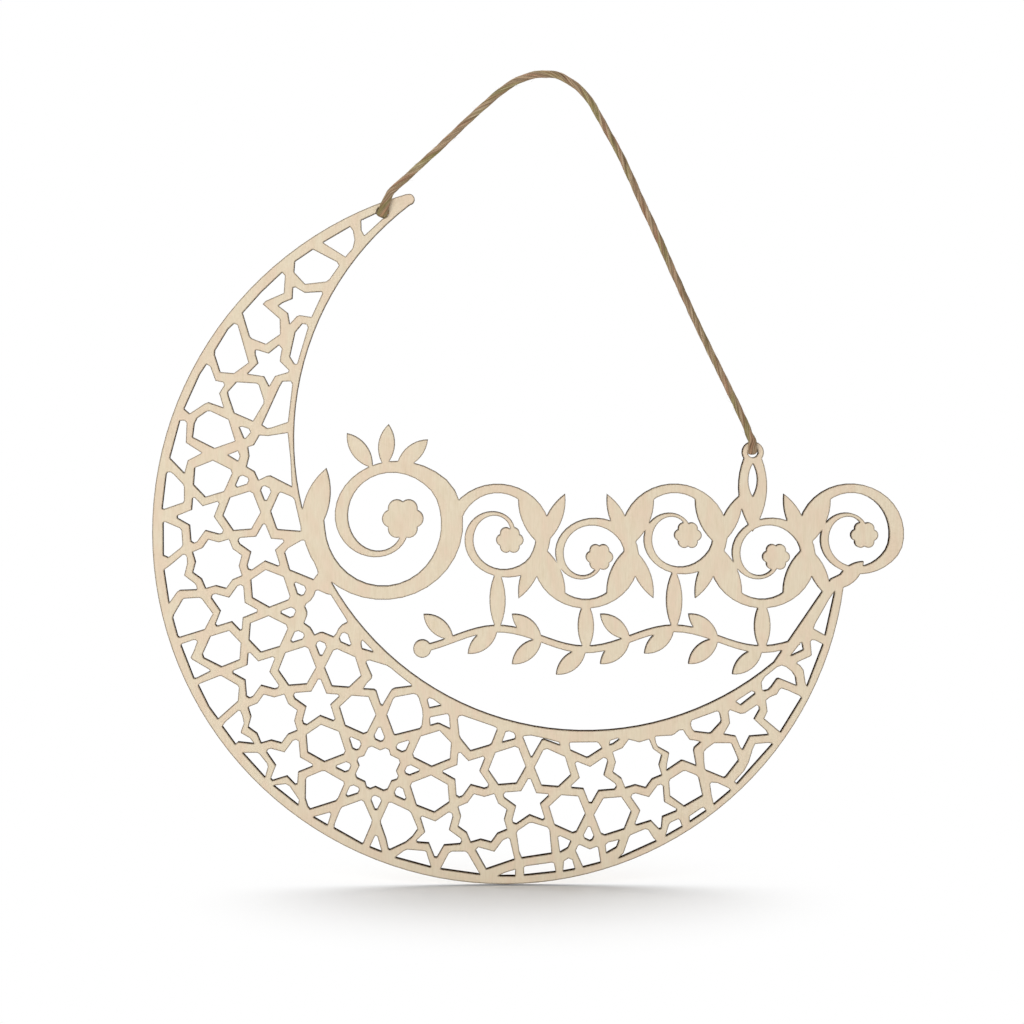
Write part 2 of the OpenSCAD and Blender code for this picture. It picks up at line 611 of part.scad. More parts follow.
// An upright leaf from the lower stem to the underside of one volute of the row.
module stem_tie(i) {
    foot = stem_point(upper_x + upper_step * i, -1);
    fall = upper_r * volute_share(i % 2 == 0 ? 270 : 90) * (1 - thin_share / 2);
    translate(foot) leaf(row_middle(i).y - fall - foot.y, tie_w);
}

// The leaf that carries the right eye, with a leaf-shaped slot below the eye.
module eye_leaf() {
    difference() {
        union() {
            translate(right_eye) circle(eye_ring_r);
            translate(right_eye + [0, eye_ring_r - eye_leaf_l]) leaf(eye_leaf_l, eye_leaf_w);
        }
        translate(right_eye + [0, -right_eye_r - eye_slot_gap - eye_slot_l]) leaf(eye_slot_l, eye_slot_w);
        translate(right_eye) circle(right_eye_r);
    }
}

module vine_scroll() {
    large_volute();
    vine_row();
    lower_stem();
    eye_leaf();
}

// The whole cut sheet, seen from the front.
module sheet_outline() {
    difference() {
        crescent_outline();
        fretwork_openings();
        translate(left_eye) circle(left_eye_r);
    }
    vine_scroll();
}

module ply(y, t) {
    translate([0, y + t, 0]) rotate([90, 0, 0]) linear_extrude(t) sheet_outline();
}

module front_veneer() {
    color("wheat") ply(front_y, veneer_t);
}

module core_ply() {
    color("burlywood") ply(core_y, core_t);
}

module back_veneer() {
    color("wheat") ply(back_ply_y, veneer_t);
}

// A round tube along points in one plane, whose normal is across, with a radius at each point.
function heading(points, i) =
    unit(points[min(i + 1, len(points) - 1)] - points[max(i - 1, 0)]);
function ring(p, along, across, r) =
    let (side = cross(along, across))
    [for (k = [0:twine_sides - 1])
        let (a = 360 * (k + 0.5) / twine_sides)
        p + r * (cos(a) * side + sin(a) * across)];
module tube(points, radii, across) {
    n = len(points);
    m = twine_sides;
    polyhedron(
        [for (i = [0:n - 1]) each ring(points[i], heading(points, i), across, radii[i])],
        concat(
            [[for (k = [0:m - 1]) k]],
            [for (i = [0:n - 2], k = [0:m - 1])
                [i * m + k, (i + 1) * m + k, (i + 1) * m + (k + 1) % m, i * m + (k + 1) % m]],
            [[for (k = [m - 1:-1:0]) (n - 1) * m + k]]
        )
    );
}

module hanging_cord() {
    color("tan") tube(
        [for (p = loop_route) [p.x, 0, p.y]],
        [for (p = loop_route) twine_r],
        [0, 1, 0]
    );
}

// The twine from the bend above the sheet's edge, round the eye's upper rim and through to the back.
module cord_end(bend, eye, eye_r) {
    reach = norm(eye - bend);
    down = unit(eye - bend);
    rim = reach - eye_r;
    turn_r = twine_r + eye_play;
    dome = [for (a = [80:-20:20]) [-twine_r * sin(a), 0, twine_r * cos(a)]];
    straight = [for (s = [0, 0.5]) [s * rim, 0, twine_r]];
    elbow_arc = [for (a = [0:18:90]) [rim + turn_r * sin(a), front_y - turn_r * cos(a), twine_r]];
    leg = [[rim + turn_r, back_y, twine_r]];
    route = concat(dome, straight, elbow_arc, leg);
    color("tan") tube(
        [for (p = route) [bend.x + down.x * p.x, p.y, bend.y + down.y * p.x]],
        [for (p = route) p[2]],
        cross([down.x, 0, down.y], [0, 1, 0])
    );
}

module left_cord_end() {
    cord_end(left_bend, left_eye, left_eye_r);
}

module right_cord_end() {
    cord_end(right_bend, right_eye, right_eye_r);
}

// A stopper knot behind the sheet: a bun with a rounded edge, flat where it bears on the back face.
module knot(eye) {
    color("tan") translate([eye.x, back_y, eye.y]) rotate([-90, 0, 0]) rotate_extrude() {
        square([knot_r - knot_edge, knot_h]);
        translate([knot_r - knot_edge, knot_edge]) square([knot_edge, knot_h - 2 * knot_edge]);
        for (h = [knot_edge, knot_h - knot_edge]) {
            translate([knot_r - knot_edge, h]) circle(knot_edge);
        }
    }
}

module left_knot() {
    knot(left_eye);
}

module right_knot() {
    knot(right_eye);
}

front_veneer();
core_ply();
back_veneer();
hanging_cord();
left_cord_end();
right_cord_end();
left_knot();
right_knot();
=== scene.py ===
"""Hanging crescent ornament: a laser-cut plywood crescent on a loop of jute twine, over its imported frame."""

import math

import bpy
import numpy as np
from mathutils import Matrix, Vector


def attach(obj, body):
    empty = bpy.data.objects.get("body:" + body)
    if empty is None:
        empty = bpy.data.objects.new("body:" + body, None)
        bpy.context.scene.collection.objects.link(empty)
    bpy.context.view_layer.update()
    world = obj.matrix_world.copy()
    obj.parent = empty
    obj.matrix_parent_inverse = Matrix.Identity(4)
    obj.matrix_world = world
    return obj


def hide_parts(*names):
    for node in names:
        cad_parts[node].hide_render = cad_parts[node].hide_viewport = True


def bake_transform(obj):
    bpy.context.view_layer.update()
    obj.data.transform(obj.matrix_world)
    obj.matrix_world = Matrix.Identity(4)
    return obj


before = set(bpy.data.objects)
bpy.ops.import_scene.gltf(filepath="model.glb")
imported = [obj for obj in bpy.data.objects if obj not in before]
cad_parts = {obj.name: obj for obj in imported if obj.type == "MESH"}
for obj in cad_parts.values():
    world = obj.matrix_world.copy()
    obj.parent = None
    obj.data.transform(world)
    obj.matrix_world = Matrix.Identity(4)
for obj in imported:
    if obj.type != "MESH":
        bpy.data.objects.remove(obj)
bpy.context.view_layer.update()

bl_info = {
    "name": "Hanging crescent ornament",
    "version": (1, 0, 0),
    "blender": (4, 5, 0),
    "location": "View3D > Sidebar > Crescent",
    "description": "Dresses a laser-cut plywood crescent and its loop of jute twine",
    "category": "Object",
}

MM = 0.001

# The sheet's two faces, in millimetres behind the plane of the twine.
FRONT_Y = 1.3
BACK_Y = 4.3

# The twine's loop seen from the front, as x and z in millimetres from the top of the loop.
LOOP_ROUTE = (
    (-49.8, -37.5), (-47.5, -35.4), (-45, -33.2), (-42.5, -30.9), (-40, -28.6), (-35, -24.1),
    (-30, -19.3), (-25, -14.6), (-20, -10.1), (-15, -5.9), (-12.5, -4), (-10, -2.5), (-7.5, -1.4),
    (-5, -0.6), (-2.5, -0.1), (0, 0), (2.7, -0.2), (5, -0.9), (7.5, -2.2), (10, -3.9), (12.5, -6.2),
    (15.2, -9.7), (18.1, -14.8), (21, -20), (23.8, -25), (26.3, -30), (28.6, -35), (30.8, -40),
    (33.1, -45), (35.5, -50), (37.8, -55), (40, -60), (42.2, -65), (44.5, -70), (46.8, -75),
    (49.1, -80), (51.5, -85), (53.9, -90), (56.4, -95), (58.9, -100), (61.4, -105), (63.8, -110),
    (66.1, -115), (67, -117.1),
)

# For each end of the twine, in millimetres and degrees: the bend above the sheet's edge, the eye and its
# radius, how far below the eye's upper rim the twine turns in, how far it bows outwards before that, how much
# wider it is pressed, the tail's heading, the knot's size, its rise above the twine's middle, and the seed of
# its frayed tail.
LEFT_END = {
    "bend": (-51, -38.6), "eye": (-53.9, -45.4), "eye_r": 2.0, "entry": 1.2, "bow": -0.2, "press": 0.62,
    "tail_deg": 205, "knot_scale": 0.8, "knot_rise": 1.4, "seed": 3,
}
RIGHT_END = {
    "bend": (67.5, -118.7), "eye": (69, -124.8), "eye_r": 1.7, "entry": 0.0, "bow": 0.5, "press": 0.4,
    "tail_deg": 256, "knot_scale": 0.7, "knot_rise": 0.9, "seed": 4,
}

# Play between the twine and the rim of an eye, and how far the twine comes out behind the sheet, both in
# millimetres.
EYE_PLAY = 0.1
LEG_OUT = 0.4

# Length over which the twine is pressed wider towards each of its ends.
PRESSED_LENGTH = 13 * MM

# A strand's offset from the twine's middle and its own radius, and the depth of a groove at which its painted
# shade is darkest, as shares of the twine's radius.
STRAND_OFFSET = 0.18
STRAND_RADIUS = 0.82
GROOVE_SHADE_DEPTH = 0.105

# Swells of the twine: each one's height as a share, its length over two pi in millimetres, its shift from one
# strand to the next, and its start.
SWELLS = ((0.014, 1.9, 2.1, 0), (0.016, 3.7, 4.4, 0), (0.03, 11, 0, 1.3))

# Fine ridges of the yarn: their height as a share of the radius, their count round the twine, how far they
# wander sideways, and the length of that over two pi in millimetres.
RIDGES = ((0.022, 9, 0.8, 2.3), (0.016, 15, 1.1, 3.1))

# Spacing of the rings along the twine and along a knot, and the points of a ring.
TWINE_STEP = 0.3 * MM
TWINE_SIDES = 36
KNOT_STEP = 0.2 * MM
KNOT_SIDES = 30

# The twine of a knot is drawn tight: its radius as a share of the loop's diameter, and its lay as a share.
KNOT_RADIUS = 0.45
KNOT_LAY = 0.7

# A knot of full size, in millimetres: the heights of its stem behind the sheet, how far out and how high it
# goes over, the coil's first and last radius, its top and its drop, and the tail's reach, drift and heights.
STEM_HEIGHTS = [0.1, 1.1, 2.1]
OVER_R = 0.95
OVER_HEIGHT = 3.05
COIL_FIRST_R = 1.85
COIL_LAST_R = 1.95
COIL_TOP = 3.25
COIL_DROP = 2.1
TAIL_REACH = np.array([1.8, 3.6, 5.4])
TAIL_DRIFT = np.array([0, 0.15, 0.5])
TAIL_HEIGHTS = [1.12, 1.15, 1.25]

# Turn of the coil and of one step along it, and how far before the coil the twine goes over, in degrees.
COIL_TURN = 450
COIL_STEP = 30
OVER_TURN = 60

# The fibres of a frayed tail: their count, radius at the root, the share of the tail's end that they fill,
# how deep they are set, the ranges of their length and lift in millimetres, and the stretch of jute and the
# spread that their tones come from.
FRAY_COUNT = 44
FRAY_RADIUS = 0.1 * MM
FRAY_FILL = 0.85
FRAY_SUNK = 0.4 * MM
FRAY_LENGTHS = (1.6, 3.2)
FRAY_LIFTS = (0.3, 1)
FRAY_STRETCH = 50 * MM
FRAY_SPREAD = 3

# The loose fibres along the twine: their seed, radius at the root, greatest lean in radians, how deep they
# are set, the ranges of their length and lift in millimetres, and the rings at each end that have none.
HAIR_SEED = 11
HAIR_RADIUS = 0.035 * MM
HAIR_LEAN = 0.7
HAIR_SUNK = 0.06 * MM
HAIR_LENGTHS = (1.2, 3.2)
HAIR_LIFTS = (0.1, 0.75)
BARE_RINGS = 20

# Half the width of the floor, and its shaded patch: the shift and stretch that bring it to the origin as a
# circle, and the distances where it starts to pale and where it is white.
FLOOR_HALF = 2
PATCH_SHIFT = (0.0096, 0.018, 0)
PATCH_STRETCH = (1, 1.05, 0)
PATCH_INNER = 0.005
PATCH_OUTER = 0.115

# The overhead lamp's distance behind and above the top of the loop, the front lamp's place, and their widths.
OVERHEAD_BACK = 0.56
OVERHEAD_RISE = 0.78
OVERHEAD_WIDTH = 1.1
FRONT_SPOT = (-0.45, -1.2, 0.25)
FRONT_WIDTH = 0.9

# Width of the camera's sensor, in millimetres.
SENSOR_WIDTH = 36


def linear(code):
    """An sRGB hex colour as linear values: ((c + 0.055) / 1.055) to the power 2.4, or c / 12.92 when dark."""
    c = np.array([int(code[k : k + 2], 16) for k in (1, 3, 5)]) / 255
    return tuple(np.where(c > 0.04045, ((c + 0.055) / 1.055) ** 2.4, c / 12.92).tolist())


def add(tree, kind, inputs=None, **settings):
    """Adds a node to a tree, with its settings, and with each input set to a value or linked to a socket.

    Inputs that share a name go by number. In a Map Range, 0 to 4 are the value, the range that it comes from
    and the range that it goes to. In a Mix, 0, 6 and 7 are the share and the two colours, and output 2 is the
    mixed colour.
    """
    made = tree.nodes.new(kind)
    for name, value in settings.items():
        setattr(made, name, value)
    for key, value in (inputs or {}).items():
        if isinstance(value, bpy.types.NodeSocket):
            tree.links.new(value, made.inputs[key])
        else:
            made.inputs[key].default_value = value
    return made


def empty_tree(block):
    """The node tree of a new material or world, cleared."""
    block.use_nodes = True
    block.node_tree.nodes.clear()
    return block.node_tree


class CrescentSheetLook(bpy.types.PropertyGroup):
    """Colours and grain of the cut sheet."""

    veneer: bpy.props.FloatVectorProperty(
        name="Veneer", description="Basswood between its fibres", subtype="COLOR", default=linear("#EBDDC4")
    )
    fibre: bpy.props.FloatVectorProperty(
        name="Fibre", description="Darker fibres of the veneer", subtype="COLOR", default=linear("#DDCCAE")
    )
    band: bpy.props.FloatVectorProperty(
        name="Growth band", description="Warmer growth bands", subtype="COLOR", default=linear("#EBD4BC")
    )
    scorch: bpy.props.FloatVectorProperty(
        name="Scorch", description="Brown line along a cut edge", subtype="COLOR", default=linear("#4E3B26")
    )
    char: bpy.props.FloatVectorProperty(
        name="Char", description="Burnt wall of a cut", subtype="COLOR", default=linear("#1D130C")
    )
    char_pale: bpy.props.FloatVectorProperty(
        name="Pale char", description="Less burnt streaks", subtype="COLOR", default=linear("#3A2819")
    )
    fibre_width: bpy.props.FloatProperty(
        name="Fibre width", description="Spacing of fibres across the grain", unit="LENGTH", default=0.00045
    )
    fibre_length: bpy.props.FloatProperty(
        name="Fibre length", description="Length of a fibre along the grain", unit="LENGTH", default=0.004
    )
    band_width: bpy.props.FloatProperty(
        name="Band width", description="Spacing of the growth bands", unit="LENGTH", default=0.005
    )
    scorch_width: bpy.props.FloatProperty(
        name="Scorch width", description="Reach of the brown line on the face", unit="LENGTH", default=0.0008
    )


class CrescentTwineLook(bpy.types.PropertyGroup):
    """Size, twist and colours of the twine."""

    diameter: bpy.props.FloatProperty(
        name="Diameter", description="Thickness of the twine", unit="LENGTH", default=0.0024
    )
    lay: bpy.props.FloatProperty(
        name="Lay", description="Length in which a strand goes round once", unit="LENGTH", default=0.022
    )
    fibres: bpy.props.IntProperty(
        name="Loose fibres", description="Number of fibres that stand off the twine", default=220
    )
    pale: bpy.props.FloatVectorProperty(
        name="Pale", description="Palest jute fibres", subtype="COLOR", default=linear("#C8B598")
    )
    tan: bpy.props.FloatVectorProperty(
        name="Tan", description="Usual jute fibres", subtype="COLOR", default=linear("#A99072")
    )
    # The darkest fibres' brown also tints the painted shade in the grooves.
    brown: bpy.props.FloatVectorProperty(
        name="Brown", description="Darkest jute fibres", subtype="COLOR", default=linear("#584430")
    )
    red: bpy.props.FloatVectorProperty(
        name="Red", description="Reddish stretches", subtype="COLOR", default=linear("#B07D60")
    )
    olive: bpy.props.FloatVectorProperty(
        name="Olive", description="Olive stretches", subtype="COLOR", default=linear("#8E8850")
    )


class CrescentStageLook(bpy.types.PropertyGroup):
    """Camera, floor and lamps."""

    distance: bpy.props.FloatProperty(
        name="Camera distance", description="Camera to the sheet's face", unit="LENGTH", default=1
    )
    camera_foot: bpy.props.FloatVectorProperty(
        name="Camera foot",
        description="Point of the sheet's face straight ahead of the camera",
        unit="LENGTH",
        size=2,
        default=(-0.0273, -0.0951),
    )
    view_width: bpy.props.FloatProperty(
        name="View width", description="Picture's width at the sheet's face", unit="LENGTH", default=0.33975
    )
    view_middle: bpy.props.FloatVectorProperty(
        name="View middle",
        description="Middle of the picture at the sheet's face",
        unit="LENGTH",
        size=2,
        default=(-0.01112, -0.14456),
    )
    floor_z: bpy.props.FloatProperty(
        name="Floor", description="Height of the floor", unit="LENGTH", default=-0.2696
    )
    floor: bpy.props.FloatVectorProperty(
        name="Floor colour", description="Matte paper", subtype="COLOR", default=linear("#F8F8F8")
    )
    overhead: bpy.props.FloatProperty(
        name="Overhead lamp", description="Soft box above and behind", subtype="POWER", default=12
    )
    front: bpy.props.FloatProperty(
        name="Front lamp", description="Soft box beside the camera", subtype="POWER", default=8.8
    )
    ambient: bpy.props.FloatProperty(
        name="Ambient", description="Even white light from all round", subtype="FACTOR", default=0.3
    )


def smooth_route(points, side, step):
    """A smooth line through points, and the frame it carries.

    Between two points the line is the cubic that has, at each, the slope of the parabola through its
    neighbours. The side vectors are shared out along it and made square to the tangent, and up is tangent
    cross side.
    """
    chord = np.linalg.norm(np.diff(points, axis=0), axis=1)
    at = np.concatenate([[0], np.cumsum(chord)])
    slope = np.gradient(points, at, axis=0)
    fine = np.linspace(0, at[-1], int(at[-1] / step) + 1)
    k = np.clip(np.searchsorted(at, fine, side="right") - 1, 0, len(chord) - 1)
    width = chord[k][:, None]
    t = (fine - at[k])[:, None] / width
    line = points[k] * (1 + 2 * t) * (1 - t) ** 2 + points[k + 1] * t**2 * (3 - 2 * t)
    line += width * t * (1 - t) * (slope[k] * (1 - t) - slope[k + 1] * t)
    tangent = np.gradient(line, axis=0)
    tangent /= np.linalg.norm(tangent, axis=1)[:, None]
    across = side[k] * (1 - t) + side[k + 1] * t
    across -= tangent * (across * tangent).sum(1)[:, None]
    across /= np.linalg.norm(across, axis=1)[:, None]
    return line, tangent, across, np.cross(tangent, across)


def lengths_along(line):
    """Length along a line at each of its points."""
    return np.concatenate([[0], np.cumsum(np.linalg.norm(np.diff(line, axis=0), axis=1))])


def tube_faces(rings, sides):
    """Quads between neighbouring rings, and a fan to a pole at each end; the poles come after the rings."""
    i, j = np.meshgrid(np.arange(rings - 1), np.arange(sides), indexing="ij")
    n = (j + 1) % sides
    quads = np.stack([i * sides + j, i * sides + n, (i + 1) * sides + n, (i + 1) * sides + j], axis=-1)
    k = np.arange(sides)
    m = (k + 1) % sides
    pole = rings * sides
    end = pole - sides
    first = np.stack([np.full(sides, pole), m, k], axis=-1)
    last = np.stack([np.full(sides, pole + 1), end + k, end + m], axis=-1)
    return quads.reshape(-1, 4).tolist() + first.tolist() + last.tolist()


def twisted_twine(path, radius, lay, sides, press):
    """Three strands twisted together, as one surface round a path.

    With a strand's offset a and its own radius b, the surface at an angle d from the nearest strand is at
    a cos d + root of (b squared less the square of a sin d). The strands go round once in a lay, and swell
    and thin along it by sines of lengths that don't repeat together. The ridges are sines round the twine
    that wander by a sine along it. Towards each end the twine is pressed wider along the sheet, by that end's
    press times 3 t squared less 2 t cubed. The fibre coordinates are the point's place in the same twine when
    straight and not twisted.
    """
    line, tangent, across, up = path
    along = lengths_along(line)
    turn = np.linspace(0, 2 * math.pi, sides, endpoint=False)
    local = turn[None, :] - (2 * math.pi * along / lay)[:, None]
    third = 2 * math.pi / 3
    strand = np.round(local / third)
    lobe = local - strand * third
    name = np.mod(strand, 3)
    s = along[:, None] / MM
    swell = np.ones_like(local)
    for height, length, shift, start in SWELLS:
        swell += height * np.sin(s / length + shift * name + start)
    root = np.sqrt(STRAND_RADIUS**2 - (STRAND_OFFSET * np.sin(lobe)) ** 2)
    envelope = STRAND_OFFSET * np.cos(lobe) + root
    ridge = np.zeros_like(local)
    for height, count, wander, length in RIDGES:
        ridge += height * np.sin(count * local + wander * np.sin(s / length))
    r = radius * (envelope * swell + ridge)
    t = np.clip(1 - np.stack([along, along[-1] - along]) / PRESSED_LENGTH, 0, 1)
    wide = 1 + np.array(press) @ (t**2 * (3 - 2 * t))
    sideways = np.cos(turn)[None, :, None] * across[:, None]
    upwards = np.sin(turn)[None, :, None] * up[:, None]
    straight = np.broadcast_to(along[:, None], local.shape)
    return {
        "points": line[:, None] + r[..., None] * (wide[:, None, None] * sideways + upwards),
        "out": sideways + upwards,
        "fibre": np.stack([straight, radius * np.cos(local), radius * np.sin(local)], axis=-1),
        # Painted shade, darker the deeper a point lies in a groove between the strands.
        "groove_shade": np.clip((1 - envelope) / GROOVE_SHADE_DEPTH, 0, 1),
        "tangent": tangent,
        "line": line,
    }


def twine_piece(name, twine, material):
    """A twine's object, with a pole at each end, its fibre attribute and the painted shade in its grooves."""
    rings, sides = twine["groove_shade"].shape
    ends = twine["line"][[0, -1]]
    points = np.concatenate([twine["points"].reshape(-1, 3), ends])
    fibre = np.concatenate([twine["fibre"].reshape(-1, 3), twine["fibre"][[0, -1], 0]])
    groove_shade = np.concatenate([twine["groove_shade"].ravel(), [0, 0]])
    return fibre_mesh(name, points, tube_faces(rings, sides), fibre, groove_shade, material)


def fibre_mesh(name, points, faces, fibre, groove_shade, material):
    """A jute object at the origin, smooth, with its fibre attribute and the painted shade in its grooves."""
    mesh = bpy.data.meshes.new(name)
    mesh.from_pydata(points.tolist(), [], faces)
    if mesh.validate():
        raise RuntimeError(f"{name} has faces that don't hold together")
    mesh.polygons.foreach_set("use_smooth", np.ones(len(mesh.polygons), bool))
    places = mesh.attributes.new("fibre", "FLOAT_VECTOR", "POINT")
    places.data.foreach_set("vector", fibre.astype(np.float32).ravel())
    # This attribute carries the painted shade of the grooves into the jute's colour.
    groove_shades = mesh.attributes.new("groove_shade", "FLOAT", "POINT")
    groove_shades.data.foreach_set("value", groove_shade.astype(np.float32))
    mesh.materials.append(material)
    piece = bpy.data.objects.new(name, mesh)
    bpy.context.scene.collection.objects.link(piece)
    return piece


def loose_fibres(name, roots, ahead, out, length, lift, thick, fibre, material):
    """Fibres of three sides, each running ahead evenly and lifting outwards with the square of its share.

    Its radius falls to a fifth at the tip, and both ends are closed by a triangle.
    """
    rings, sides = 5, 3
    share = np.linspace(0, 1, rings)
    run = length[:, None] * share
    rise = lift[:, None] * share**2
    line = roots[:, None] + ahead[:, None] * run[..., None] + out[:, None] * rise[..., None]
    third = np.cross(ahead, out)
    turn = np.linspace(0, 2 * math.pi, sides, endpoint=False)
    ring = np.cos(turn)[None, :, None] * out[:, None] + np.sin(turn)[None, :, None] * third[:, None]
    size = thick * (1 - 0.8 * share)
    points = line[:, :, None] + size[None, :, None, None] * ring[:, None]
    i, j = (part.ravel() for part in np.meshgrid(np.arange(rings - 1), np.arange(sides), indexing="ij"))
    here = sides * i
    n = (j + 1) % sides
    one = np.stack([here + j, here + n, here + sides + n, here + sides + j], axis=-1)
    tip = sides * (rings - 1)
    caps = np.array([[0, 2, 1], [tip, tip + 1, tip + 2]])
    start = rings * sides * np.arange(len(roots))[:, None, None]
    faces = (one + start).reshape(-1, 4).tolist() + (caps + start).reshape(-1, 3).tolist()
    coordinates = np.repeat(fibre, rings * sides, axis=0)
    return fibre_mesh(name, points.reshape(-1, 3), faces, coordinates, np.zeros(len(coordinates)), material)


def end_points(end, radius):
    """One end of the twine, from its bend to the back of the sheet, and its heading across the sheet.

    It runs down in front of the rim, bowed by a parabola, turns in by a quarter circle and goes through the
    eye.
    """
    bend = np.array(end["bend"], float)
    reach = np.linalg.norm(np.array(end["eye"]) - bend)
    down = (np.array(end["eye"]) - bend) / reach
    rim = reach - end["eye_r"] + end["entry"]
    turn_r = radius / MM + EYE_PLAY
    turn = np.radians(np.arange(0, 91, 18))
    along = np.concatenate([[0, rim / 2], rim + turn_r * np.sin(turn), [rim + turn_r] * 2])
    through = [(FRONT_Y + BACK_Y) / 2, BACK_Y + LEG_OUT]
    depth = np.concatenate([[0, 0], FRONT_Y - turn_r * np.cos(turn), through])
    share = np.clip(along / rim, 0, 1)
    bow = end["bow"] * 4 * share * (1 - share)
    points = np.column_stack([bend[0] + down[0] * along + bow, depth, bend[1] + down[1] * along])
    return points * MM, np.array([down[0], 0, down[1]])


def square_to(heading):
    """The direction in the sheet's plane that is square to a heading there."""
    return np.stack([-heading[..., 2], np.zeros_like(heading[..., 0]), heading[..., 0]], axis=-1)


def twine_route(radius):
    """The twine's points from behind the left eye over the loop to behind the right, and their sides."""
    left, left_down = end_points(LEFT_END, radius)
    right, right_down = end_points(RIGHT_END, radius)
    flat = np.array(LOOP_ROUTE, float) * MM
    loop = np.column_stack([flat[:, 0], np.zeros(len(flat)), flat[:, 1]])
    heading = np.gradient(loop, axis=0)
    heading /= np.linalg.norm(heading, axis=1)[:, None]
    rising = np.tile(-left_down, (len(left), 1))
    falling = np.tile(right_down, (len(right), 1))
    headings = np.concatenate([rising, heading, falling])
    return np.concatenate([left[::-1], loop, right]), square_to(headings)


def knot_route(end, radius):
    """The knot behind an eye: up the middle, over, one and a quarter turns round itself, and a tail.

    The coil comes down evenly from its top by its drop, with its turns so close that they press on each
    other, and the tail leaves it straight ahead and drifts in. The knot's size leaves the tail's reach as it
    is. The side vectors point away from the axis.
    """
    leg = end_points(end, radius)[0][-1] / MM
    last = math.radians(end["tail_deg"] - 90)
    coil = last - np.radians(np.arange(COIL_TURN, -1, -COIL_STEP))
    first = coil[0] - math.radians(OVER_TURN)
    share = np.linspace(0, 1, len(coil))
    coil_r = COIL_FIRST_R + (COIL_LAST_R - COIL_FIRST_R) * share
    body = np.concatenate(
        [
            np.zeros((len(STEM_HEIGHTS), 2)),
            [[OVER_R * math.cos(first), OVER_R * math.sin(first)]],
            np.column_stack([coil_r * np.cos(coil), coil_r * np.sin(coil)]),
        ]
    )
    size = end["knot_scale"]
    ahead = np.array([-math.sin(last), math.cos(last)])
    away = np.array([math.cos(last), math.sin(last)])
    tail = TAIL_REACH[:, None] * ahead + (size * COIL_LAST_R - TAIL_DRIFT)[:, None] * away
    spots = np.concatenate([size * body, tail])
    spots[len(STEM_HEIGHTS) :, 1] += end["knot_rise"]
    height = size * np.concatenate([STEM_HEIGHTS, [OVER_HEIGHT], COIL_TOP - COIL_DROP * share, TAIL_HEIGHTS])
    points = np.column_stack([leg[0] + spots[:, 0], BACK_Y + height, leg[2] + spots[:, 1]])
    angles = np.concatenate([np.full(len(STEM_HEIGHTS) + 1, first), coil, np.full(len(tail), last)])
    side = np.column_stack([np.cos(angles), np.zeros(len(angles)), np.sin(angles)])
    return points * MM, side


